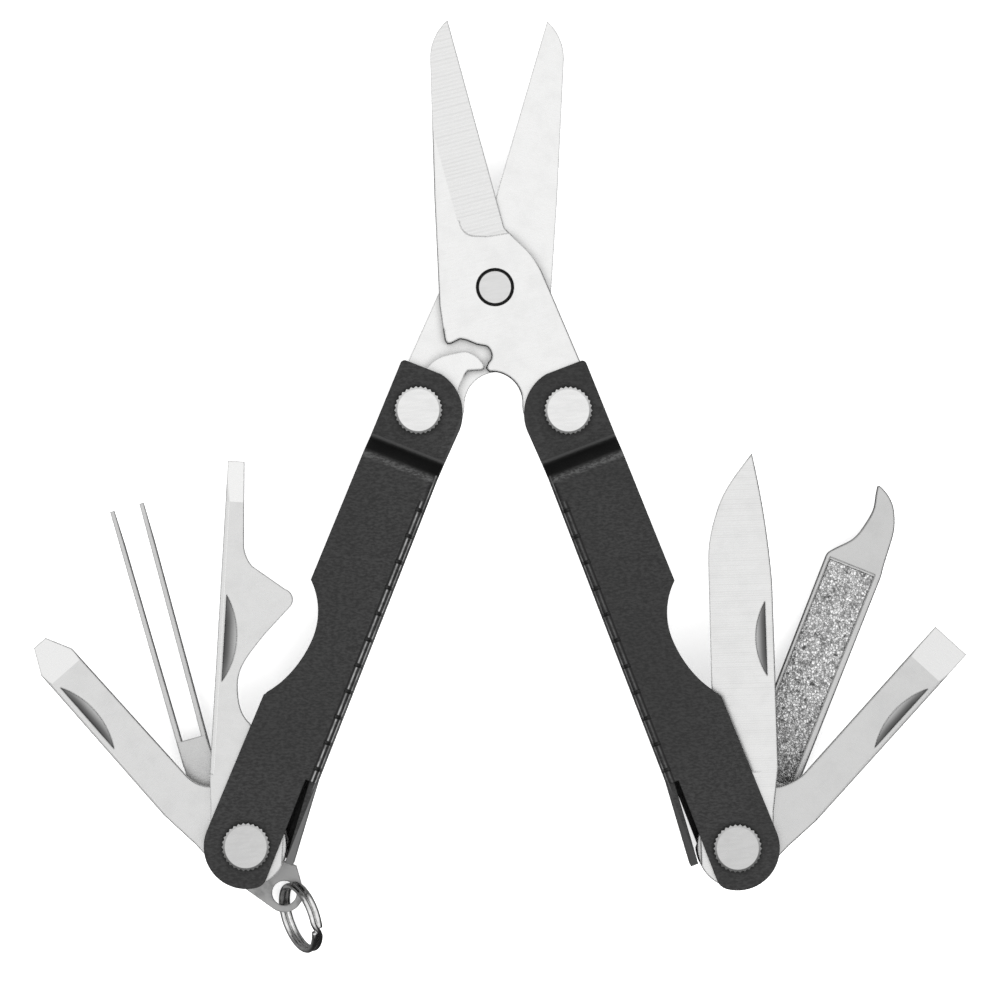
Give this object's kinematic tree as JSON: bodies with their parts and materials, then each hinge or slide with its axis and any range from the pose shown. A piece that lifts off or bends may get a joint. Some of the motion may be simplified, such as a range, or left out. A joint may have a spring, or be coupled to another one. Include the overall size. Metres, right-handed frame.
{
  "type": "multi tool",
  "caption": "Folding pocket multi tool with spring scissors, two channel handles, hinged blades, drivers, file, tweezers and a lanyard ring.",
  "frame": {"origin": "scissor pivot, half way between the two scissor halves", "axes": "+Y along the scissors to their tips, +X to the right, +Z out of the front face"},
  "size_m": [0.1068, 0.1074, 0.0126],
  "materials": {
    "scissor_steel": "satin with fine cross grinding",
    "tool_steel": "satin",
    "blade_steel": "ground across the blade",
    "spring_steel": "satin",
    "file_steel": "coarse grit on the face",
    "rivet_steel": "satin",
    "ring_steel": "polished",
    "coated_steel": "matte powder coat"
  },
  "bodies": {
    "scissor_front": {"scissor_half_front": "scissor_steel", "scissor_rivet": "rivet_steel"},
    "scissor_rear": {"scissor_half_rear": "scissor_steel"},
    "lever": {"spring_lever": "spring_steel"},
    "left_grip": {"left_handle": "coated_steel", "left_post_pin": "rivet_steel", "left_post_cap": "rivet_steel", "left_tool_pin": "rivet_steel", "left_tool_cap": "rivet_steel", "left_tool_spacer": "rivet_steel"},
    "right_grip": {"right_handle": "coated_steel", "right_post_pin": "rivet_steel", "right_post_cap": "rivet_steel", "right_post_spacer": "rivet_steel", "right_tool_pin": "rivet_steel", "right_tool_cap": "rivet_steel", "right_tool_spacer": "rivet_steel", "right_rear_spacer": "rivet_steel"},
    "opener": {"bottle_opener": "tool_steel"},
    "phillips": {"phillips_driver": "tool_steel"},
    "tweezer": {"tweezers": "tool_steel"},
    "knife": {"knife_blade": "blade_steel"},
    "flat": {"flat_driver": "tool_steel"},
    "file": {"nail_file": "file_steel"},
    "lug": {"lanyard_lug": "tool_steel"},
    "ring": {"split_ring": "ring_steel"}
  },
  "joints": [
    {"name": "scissor_pivot", "type": "hinge", "parent": "scissor_front", "child": "scissor_rear", "pos_m": [0, 0, 0], "axis": [0, 0, -1], "range_deg": [-24, 0]},
    {"name": "lever_turn", "type": "hinge", "parent": "scissor_rear", "child": "lever", "pos_m": [-0.00878, -0.01414, 0], "axis": [0, 0, -1], "range_deg": [-26.18, 0]},
    {"name": "left_fold", "type": "hinge", "parent": "scissor_rear", "child": "left_grip", "pos_m": [-0.00878, -0.01414, 0], "axis": [0, 0, 1], "range_deg": [-165, 0]},
    {"name": "right_fold", "type": "hinge", "parent": "scissor_front", "child": "right_grip", "pos_m": [0.00839, -0.01417, 0], "axis": [0, 0, -1], "range_deg": [-165, 0]},
    {"name": "opener_swing", "type": "hinge", "parent": "left_grip", "child": "opener", "pos_m": [-0.02842, -0.06401, 0], "axis": [0, 0, 1], "range_deg": [-18.2, 161.8]},
    {"name": "phillips_swing", "type": "hinge", "parent": "left_grip", "child": "phillips", "pos_m": [-0.02842, -0.06401, 0], "axis": [0, 0, 1], "range_deg": [-62.8, 117.2]},
    {"name": "tweezer_swing", "type": "hinge", "parent": "left_grip", "child": "tweezer", "pos_m": [-0.02842, -0.06401, 0], "axis": [0, 0, 1], "range_deg": [-37.2, 142.8]},
    {"name": "knife_swing", "type": "hinge", "parent": "right_grip", "child": "knife", "pos_m": [0.02769, -0.06418, 0], "axis": [0, 0, -1], "range_deg": [-19.2, 160.8]},
    {"name": "flat_swing", "type": "hinge", "parent": "right_grip", "child": "flat", "pos_m": [0.02769, -0.06418, 0], "axis": [0, 0, -1], "range_deg": [-63.2, 116.8]},
    {"name": "file_swing", "type": "hinge", "parent": "right_grip", "child": "file", "pos_m": [0.02769, -0.06418, 0], "axis": [0, 0, -1], "range_deg": [-42.9, 137.1]},
    {"name": "lug_swing", "type": "hinge", "parent": "left_grip", "child": "lug", "pos_m": [-0.02842, -0.06401, 0], "axis": [0, 0, 1], "range_deg": [-90, 0]},
    {"name": "ring_swing", "type": "hinge", "parent": "lug", "child": "ring", "pos_m": [-0.02433, -0.06981, 0], "axis": [0, 0, 1], "range_deg": [-20, 20]}
  ],
  "couplings": [
    {"joint": "lever_turn", "follows": "scissor_pivot", "ratio": 1.07}
  ]
}
